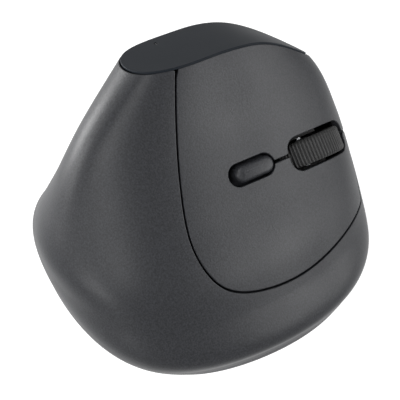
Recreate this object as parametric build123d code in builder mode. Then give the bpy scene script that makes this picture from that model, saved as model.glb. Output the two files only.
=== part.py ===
from build123d import *
import math
import os

# Right-handed vertical mouse, cordless.
# Frame: +X to the finger side, +Y forward, +Z up, origin on the table under the middle. Millimetres.

# Body form. Each row is one level section of the outer skin:
# height, right, left, front and back reach, and the x and y where those reaches are met.
BODY_ROWS = (
    (0.0, 34.7, -38.7, 47.2, -37.6, -2.9, -4.6),
    (6.0, 37.0, -38.6, 49.6, -44.6, -2.6, -5.1),
    (13.0, 40.6, -40.2, 47.5, -47.3, -2.7, -4.8),
    (22.0, 33.6, -40.4, 46.9, -48.9, -3.3, -3.9),
    (30.0, 27.5, -33.9, 45.5, -49.5, -4.4, -1.6),
    (42.0, 15.4, -29.3, 43.9, -43.9, -7.5, 2.3),
    (56.0, 2.2, -28.7, 39.3, -34.0, -9.7, 6.0),
    (74.0, -10.1, -32.1, 23.6, -11.8, -12.9, 5.8),
    (80.0, -13.3, -33.3, 17.2, -4.3, -13.9, 5.4),
)
level_step = 4.0  # spacing of the sections in between
round_front_right = 0.725  # how far each quarter of a section bulges, 0.71 is an ellipse
round_front_left = 0.72
round_back_left = 0.78
round_back_right = 0.76

# Crest: the side view of the domed top, as y and z on the finger-side edge, and its fall to the thumb side
CREST = (
    (-60.0, 75.3), (-30.0, 74.7), (-15.0, 74.2), (0.0, 73.6),
    (12.0, 73.2), (20.0, 71.7), (31.0, 65.2), (43.0, 55.0), (60.0, 39.8),
)
crest_edge_x = -9.9
crest_fall = 0.30

# Skin and seams
wall = 2.6  # skin thickness, measured level
seam = 0.35  # shadow gap between fixed panels
key_seam = 0.5  # gap round the moving keys
cap_thickness = 1.6
cap_edge = 0.6  # height of the band that shows round the cap
cap_gap = 0.25  # under that band
cap_play = 0.8  # round the cap's middle, so that a pressed key clears it
cap_ledge = 2.2  # width of the ledge that carries the cap
ledge_thickness = 1.3
seat_gap = 0.15  # between pieces that rest on each other

# Base and feet
foot_thickness = 0.6
base_thickness = 2.0
foot_length = 15.0
foot_width = 4.4

# Finger plane: its tilt, and the key plate outline as forward and upward places on it
finger_tilt = 47.0
KEY_EDGE = (
    (-4.4, 61.5), (-10.8, 42.5), (-16.2, 24.0), (-17.9, 10.0), (-13.5, -1.5),
    (-3.0, -6.2), (12.5, -6.3), (28.0, -1.8), (52.0, 10.0),
)
KEY_FRONT = ((60.0, 40.0), (36.0, 50.5), (14.0, 60.2))
front_slope = 24.0  # of those edges over the front, in degrees
key_depth = 25.5  # level of the plate's front edge on the nose, measured square to the finger plane
key_front_gap = 1.0  # open below the keys' front edges, for their travel
key_root_u = 3.5  # where the keys flex
root_gap = 0.3
key_travel = 0.8  # degrees
slit_width = 0.8
slit_v = 24.7

# Resolution button in its pocket
pocket_u = 6.0
pocket_v = 25.1
pocket_length = 14.4
pocket_width = 6.3
dpi_u = 6.7
dpi_length = 11.8
dpi_width = 4.7
dpi_proud = 1.3
dpi_travel = 0.4
dpi_flange = 1.0  # reach of its stop flange past the pocket
dpi_flange_w = 37.6  # levels of the flange, of the button's straight sides and of the stem's end
dpi_sides_w = 38.0
dpi_stem_w = 38.5
dpi_stem = 3.4

# Scroll wheel
wheel_u = 27.2
wheel_v = 23.9
wheel_w = 30.3
wheel_radius = 11.5
wheel_width = 7.0
tyre_thickness = 2.2
rib_count = 56
rib_depth = 0.5
axle_radius = 1.1
axle_fit = 0.05
hub_boss_radius = 2.8
hub_web = 1.6
hub_hole = 1.5
hub_holes = 5
window_u = (18.1, 40.6)
window_corner = 3.6
window_v = (19.3, 28.9)
wheel_click = 0.5

# Wheel carrier and its well
side_play = 0.6
arm_thickness = 1.6
arm_length = 9.0
arm_rise = 3.0  # over the axle's centre
carrier_gap = 0.7  # under the tyre
carrier_plate = 1.6
well_play = 0.4
well_wall = 1.5
encoder_size = (9.0, 4.2, 6.5)  # forward, along the axle, deep

# Key board and chassis, as levels square to the finger plane
board_thickness = 1.6
board_corner = 1.5
board_pad = 1.8  # pads that carry the key board
board_pad_inset = 4.0
key_board_w = 24.0
key_board_u = (-4.0, 36.0)
key_board_v = (6.5, 43.5)
chassis_thickness = 1.6
chassis_u = (-15.0, 35.5)
chassis_v = (8.5, 44.3)
chassis_drop = 0.8  # from the key board down to the chassis plate
notch_u = 14.2  # rear end of the wheel's notch in the board
chassis_corner = 2.5
leg_root = 0.5  # depth of the legs' ends in the chassis plate

# Switches
micro_length = 12.8
micro_width = 5.8
micro_height = 6.5
plunger_height = 0.6
plunger_radius = 0.8
tact_side = 6.0
tact_height = 3.5
tact_plunger = 0.8
tact_plunger_radius = 1.7
tact_corner = 0.5
press_rest = 0.1  # left between a button and its switch at full press
left_switch_at = (29.0, 38.0)
right_switch_at = (25.5, 12.5)
key_post = 3.0
rib_thickness = 1.2
rib_w = 33.5  # level of the ribs' free edges
root_boss_radius = 2.6
root_boss_u = -9.0
root_boss_v = (11.0, 36.0)
boss_hole = 0.85

# Thumb side
THUMB_EDGE = ((-30.0, 26.0), (28.0, 26.0), (30.0, 38.0), (21.5, 60.5), (-13.5, 61.5))
thumb_corner = 7.0
thumb_zone_x = (-50.0, -15.0)
thumb_lip = 1.8  # reach of the lip behind the panel
lip_root = 1.5  # its reach behind the shell
lip_thickness = 1.3
button_z = 53.0
button_length = 16.0
button_height = 5.6
button_gap_y = 1.4
button_mid_y = 3.8
button_proud = 1.1
button_seam = 0.4
button_travel = 0.5
button_flange = 0.9
flange_thickness = 0.9
thumb_board_x = -19.6
thumb_board_y = (-15.0, 22.0)
thumb_board_z = (45.0, 65.8)
thumb_wall_thickness = 1.4
thumb_wall_z = (45.5, 58.5)
thumb_wall_inset = 2.0
button_stem = 3.0
flange_gap = 0.5  # between the two buttons' flanges

# Light pipe in the cap
light_at = (-27.1, -2.1)
light_hole = 0.5
light_radius = 0.4
light_play = 0.3
light_sink = 0.25  # of the pipe's end under the crest
light_chip = (0.8, 2.8, 2.2)
light_gap = 0.2
light_bar_z = 64.3
light_bar = 1.6

# Battery bay, door and cell
cell_radius = 7.2
cell_length = 49.2
cell_nub = (2.7, 1.2)
cell_x = 17.0
cell_y = -0.7
bay_play = 0.9
bay_wall = 1.2
bay_corner = 3.0
bay_end = 2.6  # room for a contact at each end
cell_floor = 0.5  # between the cell and the bay's walls
cell_roof = 0.6
door_edge = 1.2  # reach of the door past the bay at the sides
door_end = 1.6  # and at the ends
door_corner = 0.8
door_gap = 0.25
door_thickness = 1.4
door_hinge = 0.95  # from the recess to the middle of the door's rolled edge
contact_side = 11.0
contact_thickness = 0.4

# Main board and what is on it
main_board_z = 7.2
main_board_x = (-25.5, 7.3)
main_board_y = (-24.0, 30.0)
main_corner = 3.0
board_post = 2.0
board_post_inset = 3.0
leg_play = 0.5
sensor_hole = (5.0, 7.0)
sensor_at = (-6.0, 4.0)
sensor_size = (9.9, 12.0, 3.2)
lens_size = (11.0, 15.0)
lens_corner = 1.5
aperture = (7.0, 9.0)
power_at = (-22.0, -8.0)
power_slot = (3.2, 8.0)
power_knob = (2.6, 4.6)
power_travel = 2.4
knob_sink = 0.4
power_body = (4.4, 9.0, 3.4)

# Radio receiver in its bay under the heel
receiver_at = (-8.0, -33.2)
plug_size = (12.0, 4.5, 12.2)
grip_size = (14.4, 6.0, 5.6)
receiver_fit = 0.2
receiver_wall = 1.2
receiver_roof = 0.4
grip_corner = 1.2

# Screws
screw_radius = 1.0
screw_head = 1.9
screw_length = 8.0
screw_head_height = 0.9
screw_core = 0.8  # radius of the drawn shank
screw_play = 0.2
counterbore = 1.0
post_radius = 2.9
post_height = 13.0
BASE_SCREWS = ((-31.0, 18.0), (-30.0, -20.0), (31.3, -3.0), (-3.0, 43.0))
leg_radius = 2.4
LEGS = ((4.0, -3.0), (4.0, 21.0), (-15.2, -3.0), (-15.2, 20.0))

wide = 200.0  # wider than the whole mouse
outside = 70.0  # levels on the finger plane beyond the skin and inside it
skin_inside = 20.0
top_side = 40.0  # a height under the cap, from which holes are cut up through it
base_bottom = foot_thickness
base_top = base_bottom + base_thickness
skin_bottom = base_top + seat_gap

os.makedirs("parts", exist_ok=True)

finger = Plane(
    origin=(0, 0, 0),
    x_dir=(0, 1, 0),
    z_dir=(math.cos(math.radians(finger_tilt)), 0, math.sin(math.radians(finger_tilt))),
)


def place(u, v, w):
    """Point at u forward and v up on the finger plane's slope, and w out from it."""
    return finger.from_local_coords((u, v, w))


def save(piece, name):
    """Label a finished piece and write its file."""
    piece.part.label = name
    export_step(piece.part, f"parts/{name}.step")


# Outer skin form
def row_slope(k, column):
    """Slope of one reach at row k, from the rows on both sides."""
    rise = [b[0] - a[0] for a, b in zip(BODY_ROWS, BODY_ROWS[1:])]
    slope = [(b[column] - a[column]) / h for a, b, h in zip(BODY_ROWS, BODY_ROWS[1:], rise)]
    if k == 0 or k == len(BODY_ROWS) - 1:
        return slope[min(k, len(slope) - 1)]
    return (slope[k - 1] * rise[k] + slope[k] * rise[k - 1]) / (rise[k - 1] + rise[k])


def row_at(height):
    """The six reaches at any height, on a smooth cubic through the rows."""
    k = max(i for i in range(len(BODY_ROWS) - 1) if BODY_ROWS[i][0] <= height + 1e-6)
    low, high = BODY_ROWS[k], BODY_ROWS[k + 1]
    rise = high[0] - low[0]
    t = (height - low[0]) / rise
    return [
        (2 * t**3 - 3 * t**2 + 1) * low[c]
        + (t**3 - 2 * t**2 + t) * rise * row_slope(k, c)
        + (3 * t**2 - 2 * t**3) * high[c]
        + (t**3 - t**2) * rise * row_slope(k + 1, c)
        for c in range(1, 7)
    ]


def section_points(height, inset):
    """Eight points of a level section from the thumb side round the back, and the first again."""
    right, left, front, back, mid_x, mid_y = row_at(height)
    right, left, front, back = right - inset, left + inset, front - inset, back + inset

    def corner(x, y, bulge):
        return (mid_x + bulge * (x - mid_x), mid_y + bulge * (y - mid_y))

    return [
        (left, mid_y),
        corner(left, back, round_back_left),
        (mid_x, back),
        corner(right, back, round_back_right),
        (right, mid_y),
        corner(right, front, round_front_right),
        (mid_x, front),
        corner(left, front, round_front_left),
        (left, mid_y),
    ]


def skin_heights():
    """Heights of the sections: every driving row, and steps in between."""
    heights = []
    for low, high in zip(BODY_ROWS, BODY_ROWS[1:]):
        steps = max(1, round((high[0] - low[0]) / level_step))
        heights += [low[0] + (high[0] - low[0]) * i / steps for i in range(steps)]
    return heights + [BODY_ROWS[-1][0]]


def skin(inset):
    """The whole body form, drawn in by an inset or, where that is negative, grown."""
    with BuildPart() as block:
        for height in skin_heights():
            with BuildSketch(Plane.XY.offset(height)):
                with BuildLine():
                    Spline(
                        *section_points(height, inset),
                        tangents=[(0, -1), (0, -1)],
                        tangent_scalars=[1, 1],
                    )
                make_face()
        loft()
    return block.part


def above_crest(lift):
    """Everything above the domed top, moved up by a lift."""
    start_x = -60.0
    with BuildPart() as block:
        with BuildSketch(Plane.YZ.offset(start_x)):
            with BuildLine():
                edge = Spline(*[(y, z + lift + crest_fall * (start_x - crest_edge_x)) for y, z in CREST])
                Polyline(edge @ 1, (CREST[-1][0], 150), (CREST[0][0], 150), edge @ 0)
            make_face()
        extrude(amount=130, dir=(1, 0, crest_fall))
    return block.part


def prism(outline, plane, start, end):
    """A straight block over a sketch drawn on a plane, between two levels."""
    with BuildPart() as block:
        with BuildSketch(plane.offset(start)):
            add(outline)
        extrude(amount=end - start)
    return block.part


outer_form = skin(0)
inner_form = skin(wall)
core_form = skin(wall / 2)
cap_zone = above_crest(-cap_thickness)
edge_zone = above_crest(-cap_edge)
rim_zone = above_crest(-cap_edge - cap_gap)

with BuildPart() as body:
    add(outer_form)
    add(above_crest(0), mode=Mode.SUBTRACT)

# Skin tube under the cap, open above and below
with BuildPart() as tube:
    add(outer_form)
    add(inner_form, mode=Mode.SUBTRACT)
    add(rim_zone, mode=Mode.SUBTRACT)
    with Locations((0, 0, skin_bottom / 2)):
        Box(wide, wide, skin_bottom, mode=Mode.SUBTRACT)


def inward(curve, t, gap):
    """Point beside a curve, a gap to the left of its run."""
    run = curve % t
    return curve @ t + Vector(-run.Y, run.X) * gap


# Outlines of the zones cut from the skin
with BuildSketch() as key_outline:
    with BuildLine():
        key_curve = Spline(*KEY_EDGE)
        Polyline(key_curve @ 1, *KEY_FRONT, key_curve @ 0)
    make_face()

with BuildSketch() as key_outline_in:
    with BuildLine():
        inner_curve = Spline(*[inward(key_curve, i / 16, key_seam) for i in range(17)])
        front_drop = key_seam / math.cos(math.radians(front_slope))
        Polyline(inner_curve @ 1, *[(u, v - front_drop) for u, v in KEY_FRONT], inner_curve @ 0)
    make_face()

with BuildSketch() as thumb_outline:
    with BuildLine():
        FilletPolyline(*THUMB_EDGE, radius=thumb_corner, close=True)
    make_face()

with BuildSketch() as thumb_outline_in:
    add(thumb_outline.sketch)
    offset(amount=-seam)

with BuildSketch() as lip_outline:
    add(thumb_outline.sketch)
    offset(amount=lip_root)
    with BuildSketch(mode=Mode.PRIVATE) as lip_opening:
        add(thumb_outline.sketch)
        offset(amount=-thumb_lip)
    add(lip_opening.sketch, mode=Mode.SUBTRACT)

with BuildSketch() as window_outline:
    with Locations((sum(window_u) / 2, sum(window_v) / 2)):
        RectangleRounded(window_u[1] - window_u[0], window_v[1] - window_v[0], window_corner)

with BuildSketch() as pocket_outline:
    with Locations((pocket_u, pocket_v)):
        SlotOverall(pocket_length, pocket_width)

key_zone = prism(key_outline.sketch, finger, key_depth, outside)
thumb_zone = prism(thumb_outline.sketch, Plane.YZ, *thumb_zone_x)

# Top cap: a thin edge over the shells' rims, and a thicker middle let in between them
with BuildPart() as cap_rim:
    add(body.part)
    add(edge_zone, mode=Mode.INTERSECT)

with BuildPart() as top_cap:
    add(skin(wall + cap_play))
    add(above_crest(0), mode=Mode.SUBTRACT)
    add(cap_zone, mode=Mode.INTERSECT)
    add(cap_rim.part)
    with BuildSketch(Plane.XY.offset(top_side)):
        with Locations(light_at):
            Circle(light_hole)
    extrude(amount=top_side, mode=Mode.SUBTRACT)

# Palm shell, with the ledge under the cap, the lip behind the thumb panel and four screw posts
with BuildPart() as ledge:
    add(core_form)
    add(skin(wall + cap_ledge), mode=Mode.SUBTRACT)
    add(above_crest(-cap_thickness - seat_gap - ledge_thickness), mode=Mode.INTERSECT)
    add(above_crest(-cap_thickness - seat_gap), mode=Mode.SUBTRACT)
    add(prism(key_outline.sketch, finger, key_depth - 5, outside), mode=Mode.SUBTRACT)
    with BuildSketch(Plane.XY.offset(top_side)):
        with Locations(light_at):
            Circle(light_radius + light_play)
    extrude(amount=top_side, mode=Mode.SUBTRACT)

lip_inner = skin(wall + lip_thickness)
lip_zone = prism(lip_outline.sketch, Plane.YZ, *thumb_zone_x)
with BuildPart() as thumb_lip_root:
    add(core_form)
    add(lip_inner, mode=Mode.SUBTRACT)
    add(lip_zone, mode=Mode.INTERSECT)
    add(thumb_zone, mode=Mode.SUBTRACT)

with BuildPart() as thumb_rim:
    add(skin(wall + seat_gap))
    add(lip_inner, mode=Mode.SUBTRACT)
    add(lip_zone, mode=Mode.INTERSECT)
    add(thumb_lip_root.part)

with BuildPart() as posts:
    for x, y in BASE_SCREWS:
        reach = math.hypot(x, y)
        with BuildSketch(Plane.XY.offset(skin_bottom)):
            with Locations((x, y)):
                Circle(post_radius)
            with Locations(Location((x * 1.1, y * 1.1), math.degrees(math.atan2(y, x)))):
                Rectangle(0.2 * reach, 1.6)
        extrude(amount=post_height)
    add(core_form, mode=Mode.INTERSECT)

with BuildPart() as palm_shell:
    add(tube.part)
    add(thumb_zone, mode=Mode.SUBTRACT)
    add(thumb_rim.part)
    add(key_zone, mode=Mode.SUBTRACT)
    add(ledge.part)
    add(posts.part)
    with Locations(*[(x, y, skin_bottom) for x, y in BASE_SCREWS]):
        Cylinder(boss_hole, post_height, align=(Align.CENTER, Align.CENTER, Align.MIN), mode=Mode.SUBTRACT)

# Key plate: a fixed root and two keys that flex from it
with BuildPart() as key_plate:
    add(tube.part)
    add(prism(key_outline_in.sketch, finger, key_depth + key_front_gap, outside), mode=Mode.INTERSECT)
    with BuildSketch(finger.offset(skin_inside)):
        add(pocket_outline.sketch)
        add(window_outline.sketch)
        with Locations(((pocket_u + 60) / 2, slit_v)):
            Rectangle(60 - pocket_u, slit_width)
    extrude(amount=60, mode=Mode.SUBTRACT)

micro_top = key_board_w + board_thickness + micro_height + plunger_height


def key(low_v, high_v, switch_at):
    """One key: its part of the plate, with the post that presses its switch and a stiffening rib."""
    press = math.radians(key_travel) * (switch_at[0] - key_root_u)
    with BuildPart() as post:
        with BuildSketch(finger.offset(micro_top + press + press_rest)):
            with Locations(switch_at):
                Rectangle(key_post, key_post)
        extrude(amount=30)
        with BuildSketch(finger.offset(rib_w)):
            with Locations(((key_root_u + switch_at[0]) / 2 + 1, switch_at[1])):
                Rectangle(switch_at[0] - key_root_u - 1, rib_thickness)
        extrude(amount=30)
        add(core_form, mode=Mode.INTERSECT)
    with BuildPart() as piece:
        add(key_plate.part)
        with BuildSketch(finger):
            with Locations(((key_root_u + 80) / 2 + root_gap / 2, (low_v + high_v) / 2)):
                Rectangle(80 - key_root_u, high_v - low_v)
        extrude(amount=80, mode=Mode.INTERSECT)
        add(post.part)
    return piece


left_key = key(slit_v, 90, left_switch_at)
right_key = key(-40, slit_v, right_switch_at)

chassis_top = key_board_w - chassis_drop
with BuildPart() as root_bosses:
    with BuildSketch(finger.offset(chassis_top + seat_gap)):
        with Locations(*[(root_boss_u, v) for v in root_boss_v]):
            Circle(root_boss_radius)
    extrude(amount=30)
    add(core_form, mode=Mode.INTERSECT)

with BuildPart() as key_root:
    add(key_plate.part)
    with BuildSketch(finger):
        with Locations((key_root_u - root_gap / 2 - 30, 20)):
            Rectangle(60, 120)
    extrude(amount=80, mode=Mode.INTERSECT)
    add(root_bosses.part)
    with BuildSketch(finger.offset(chassis_top)):
        with Locations(*[(root_boss_u, v) for v in root_boss_v]):
            Circle(boss_hole)
    extrude(amount=screw_length, mode=Mode.SUBTRACT)

# Resolution button, with its stop flange and its stem to the switch
tact_top = key_board_w + board_thickness + tact_height + tact_plunger
with BuildPart() as dpi_flange_block:
    with BuildSketch(finger.offset(dpi_flange_w)):
        with Locations((pocket_u, pocket_v)):
            SlotOverall(pocket_length + 2 * dpi_flange, pocket_width + 2 * dpi_flange)
    extrude(amount=20)
    add(skin(wall + seam), mode=Mode.INTERSECT)

with BuildPart() as dpi_button:
    with BuildSketch(finger.offset(dpi_sides_w)):
        with Locations((dpi_u, pocket_v)):
            SlotOverall(dpi_length, dpi_width)
    extrude(amount=20)
    add(skin(-dpi_proud), mode=Mode.INTERSECT)
    add(dpi_flange_block.part)
    with BuildSketch(finger.offset(tact_top + dpi_travel + press_rest)):
        with Locations((dpi_u, pocket_v)):
            Rectangle(dpi_stem, dpi_stem)
    extrude(amount=dpi_stem_w - tact_top - dpi_travel - press_rest)

# Scroll wheel: ribbed tyre on a webbed hub, on a steel axle
wheel_centre = place(wheel_u, wheel_v, wheel_w)
wheel_plane = Plane(origin=wheel_centre, x_dir=finger.x_dir, z_dir=finger.y_dir)
hub_radius = wheel_radius - tyre_thickness

with BuildPart() as wheel_tyre:
    with BuildSketch(wheel_plane.offset(-wheel_width / 2)):
        Circle(wheel_radius)
        Circle(hub_radius, mode=Mode.SUBTRACT)
        with PolarLocations(wheel_radius, rib_count):
            Rectangle(2 * rib_depth, math.pi * wheel_radius / rib_count, mode=Mode.SUBTRACT)
    extrude(amount=wheel_width)

with BuildPart() as wheel_hub:
    with BuildSketch(wheel_plane.offset(-wheel_width / 2)):
        Circle(hub_radius)
        Circle(hub_radius - hub_web, mode=Mode.SUBTRACT)
    extrude(amount=wheel_width)
    with BuildSketch(wheel_plane.offset(-hub_web / 2)):
        Circle(hub_radius - hub_web / 2)
        with PolarLocations((hub_radius - hub_web + hub_boss_radius) / 2, hub_holes):
            Circle(hub_hole, mode=Mode.SUBTRACT)
    extrude(amount=hub_web)
    with BuildSketch(wheel_plane.offset(-wheel_width / 2)):
        Circle(hub_boss_radius)
    extrude(amount=wheel_width)
    with BuildSketch(wheel_plane.offset(-wheel_width / 2)):
        Circle(axle_radius)
    extrude(amount=wheel_width, mode=Mode.SUBTRACT)

arm_in = wheel_width / 2 + side_play
arm_out = arm_in + arm_thickness
with BuildPart() as wheel_axle:
    with BuildSketch(wheel_plane.offset(-arm_out)):
        Circle(axle_radius)
    extrude(amount=2 * arm_out + encoder_size[1] / 2)

# Carrier: two arms that hold the axle, joined under the wheel, free to sink by the click
carrier_top = wheel_w - wheel_radius - carrier_gap
carrier_bottom = carrier_top - carrier_plate
with BuildPart() as wheel_carrier:
    with BuildSketch(finger.offset(carrier_bottom)):
        with Locations((wheel_u, wheel_v)):
            Rectangle(arm_length, 2 * arm_out)
    extrude(amount=carrier_plate)
    for side in (-1, 1):
        with BuildSketch(finger.offset(carrier_bottom)):
            with Locations((wheel_u, wheel_v + side * (arm_in + arm_thickness / 2))):
                Rectangle(arm_length, arm_thickness)
        extrude(amount=wheel_w - carrier_bottom + arm_rise)
    with BuildSketch(wheel_plane.offset(-arm_out)):
        Circle(axle_radius + axle_fit)
    extrude(amount=2 * arm_out, mode=Mode.SUBTRACT)

with BuildPart() as wheel_encoder:
    with BuildSketch(finger.offset(wheel_w - encoder_size[2] / 2)):
        with Locations((wheel_u, wheel_v + arm_out + encoder_size[1] / 2)):
            Rectangle(encoder_size[0], encoder_size[1])
    extrude(amount=encoder_size[2])
    with BuildSketch(wheel_plane.offset(arm_out)):
        Circle(axle_radius + axle_fit)
    extrude(amount=encoder_size[1] / 2 + seat_gap, mode=Mode.SUBTRACT)

# Key board with its notch for the wheel
notch_half = arm_out + well_play
with BuildPart() as key_board:
    with BuildSketch(finger.offset(key_board_w)):
        with Locations((sum(key_board_u) / 2, sum(key_board_v) / 2)):
            RectangleRounded(key_board_u[1] - key_board_u[0], key_board_v[1] - key_board_v[0], board_corner)
        with Locations(((notch_u + 60) / 2, wheel_v)):
            Rectangle(60 - notch_u, 2 * notch_half, mode=Mode.SUBTRACT)
    extrude(amount=board_thickness)


def micro_switch(at):
    """A snap switch on the key board, with its plunger."""
    with BuildPart() as piece:
        with BuildSketch(finger.offset(key_board_w + board_thickness)):
            with Locations(at):
                Rectangle(micro_length, micro_width)
        extrude(amount=micro_height)
        with BuildSketch(finger.offset(key_board_w + board_thickness + micro_height)):
            with Locations(at):
                Circle(plunger_radius)
        extrude(amount=plunger_height)
    return piece


def tact_switch(plane, at):
    """A square tact switch standing on a plane, with its round plunger."""
    with BuildPart() as piece:
        with BuildSketch(plane):
            with Locations(at):
                RectangleRounded(tact_side, tact_side, tact_corner)
        extrude(amount=tact_height)
        with BuildSketch(plane.offset(tact_height)):
            with Locations(at):
                Circle(tact_plunger_radius)
        extrude(amount=tact_plunger)
    return piece


left_switch = micro_switch(left_switch_at)
right_switch = micro_switch(right_switch_at)
dpi_switch = tact_switch(finger.offset(key_board_w + board_thickness), (dpi_u, pocket_v))

# Chassis: a sloped plate on four legs, with the well of the wheel carrier
chassis_bottom = chassis_top - chassis_thickness
well_floor = carrier_bottom - wheel_click - press_rest - tact_height - tact_plunger
well_in = notch_half
well_length = arm_length + 2 * well_play
with BuildPart() as legs:
    with BuildSketch(Plane.XY.offset(base_top + seat_gap)):
        with Locations(*LEGS):
            Circle(leg_radius)
    extrude(amount=60)
    with BuildSketch(finger.offset(chassis_bottom + leg_root)):
        Rectangle(wide, wide)
    extrude(amount=wide, mode=Mode.SUBTRACT)

with BuildPart() as chassis:
    with BuildSketch(finger.offset(chassis_bottom)):
        with Locations((sum(chassis_u) / 2, sum(chassis_v) / 2)):
            RectangleRounded(chassis_u[1] - chassis_u[0], chassis_v[1] - chassis_v[0], chassis_corner)
    extrude(amount=chassis_thickness)
    add(legs.part)
    with BuildSketch(finger.offset(well_floor - well_wall)):
        with Locations((wheel_u, wheel_v)):
            Rectangle(well_length + 2 * well_wall, 2 * (well_in + well_wall))
    extrude(amount=chassis_bottom - well_floor + well_wall)
    with BuildSketch(finger.offset(well_floor)):
        with Locations((wheel_u, wheel_v)):
            Rectangle(well_length, 2 * well_in)
    extrude(amount=40, mode=Mode.SUBTRACT)
    with BuildSketch(finger.offset(chassis_bottom)):
        with Locations((wheel_u + 20 - wheel_radius, wheel_v)):
            Rectangle(40, 2 * well_in)
    extrude(amount=40, mode=Mode.SUBTRACT)
    with BuildSketch(wheel_plane.offset(-well_in)):
        Circle(wheel_radius + wheel_click + carrier_gap)
    extrude(amount=2 * well_in, mode=Mode.SUBTRACT)
    with BuildSketch(finger.offset(chassis_top)):
        for u in (key_board_u[0] + board_pad_inset, notch_u - board_pad_inset, key_board_u[1] - board_pad_inset):
            for v in (key_board_v[0] + board_pad_inset, key_board_v[1] - board_pad_inset):
                with Locations((u, v)):
                    Circle(board_pad)
    extrude(amount=chassis_drop)
    with BuildSketch(finger.offset(chassis_bottom)):
        with Locations(*[(root_boss_u, v) for v in root_boss_v]):
            Circle(screw_radius + screw_play)
    extrude(amount=10, mode=Mode.SUBTRACT)
    thumb_wall_x = thumb_board_x + board_thickness + thumb_wall_thickness / 2
    thumb_wall_length = thumb_board_y[1] - thumb_board_y[0] - 2 * thumb_wall_inset
    with Locations((thumb_wall_x, sum(thumb_board_y) / 2, sum(thumb_wall_z) / 2)):
        Box(thumb_wall_thickness, thumb_wall_length, thumb_wall_z[1] - thumb_wall_z[0])

click_switch = tact_switch(finger.offset(well_floor), (wheel_u, wheel_v))

# Thumb panel with its two buttons
BUTTONS = {
    "back": button_mid_y - (button_length + button_gap_y) / 2,
    "forward": button_mid_y + (button_length + button_gap_y) / 2,
}
with BuildPart() as thumb_panel:
    add(tube.part)
    add(prism(thumb_outline_in.sketch, Plane.YZ, *thumb_zone_x), mode=Mode.INTERSECT)
    with BuildSketch(Plane.YZ.offset(thumb_zone_x[0])):
        for y in BUTTONS.values():
            with Locations((y, button_z)):
                SlotOverall(button_length, button_height)
    extrude(amount=thumb_zone_x[1] - thumb_zone_x[0], mode=Mode.SUBTRACT)

button_form = skin(-button_proud)
flange_form = skin(wall + seat_gap)
flange_inner = skin(wall + seat_gap + flange_thickness)
tact_tip_x = thumb_board_x - tact_height - tact_plunger


def thumb_button(mid_y):
    """One thumb button: a proud face that follows the panel, a stop flange and a stem."""
    with BuildPart() as face:
        with BuildSketch(Plane.YZ.offset(thumb_zone_x[0])):
            with Locations((mid_y, button_z)):
                SlotOverall(button_length - 2 * button_seam, button_height - 2 * button_seam)
        extrude(amount=thumb_zone_x[1] - thumb_zone_x[0])
        add(button_form, mode=Mode.INTERSECT)
        add(flange_inner, mode=Mode.SUBTRACT)
    with BuildPart() as flange:
        with BuildSketch(Plane.YZ.offset(thumb_zone_x[0])):
            with Locations((mid_y, button_z)):
                SlotOverall(button_length + button_gap_y - flange_gap, button_height + 2 * button_flange)
        extrude(amount=thumb_zone_x[1] - thumb_zone_x[0])
        add(flange_form, mode=Mode.INTERSECT)
        add(flange_inner, mode=Mode.SUBTRACT)
    with BuildPart() as piece:
        with Locations((tact_tip_x - button_travel - press_rest - button_stem / 2, mid_y, button_z)):
            Box(button_stem, button_stem, button_stem)
        add(button_form, mode=Mode.INTERSECT)
        add(face.part)
        add(flange.part)
    return piece


back_button = thumb_button(BUTTONS["back"])
forward_button = thumb_button(BUTTONS["forward"])

with BuildPart() as thumb_board:
    with BuildSketch(Plane.YZ.offset(thumb_board_x)):
        with Locations((sum(thumb_board_y) / 2, sum(thumb_board_z) / 2)):
            RectangleRounded(thumb_board_y[1] - thumb_board_y[0], thumb_board_z[1] - thumb_board_z[0], board_corner)
    extrude(amount=board_thickness)

thumb_face = Plane(origin=(thumb_board_x, 0, 0), x_dir=(0, -1, 0), z_dir=(-1, 0, 0))
back_switch = tact_switch(thumb_face, (-BUTTONS["back"], button_z))
forward_switch = tact_switch(thumb_face, (-BUTTONS["forward"], button_z))

# Light pipe from the pinhole to the thumb board
light_x, light_y = light_at
light_top = CREST[3][1] + crest_fall * (light_x - crest_edge_x) - light_sink
light_end = thumb_board_x - light_chip[0] - light_gap
light_start = light_x - light_radius
with BuildPart() as light_pipe:
    with Locations((light_x, light_y, light_top)):
        Cylinder(light_radius, light_top - light_bar_z, align=(Align.CENTER, Align.CENTER, Align.MAX))
    with Locations(((light_start + light_end) / 2, light_y, light_bar_z)):
        Box(light_end - light_start, light_bar, light_bar)
with BuildPart() as status_light:
    with Locations((thumb_board_x - light_chip[0] / 2, light_y, light_bar_z)):
        Box(*light_chip)

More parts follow.
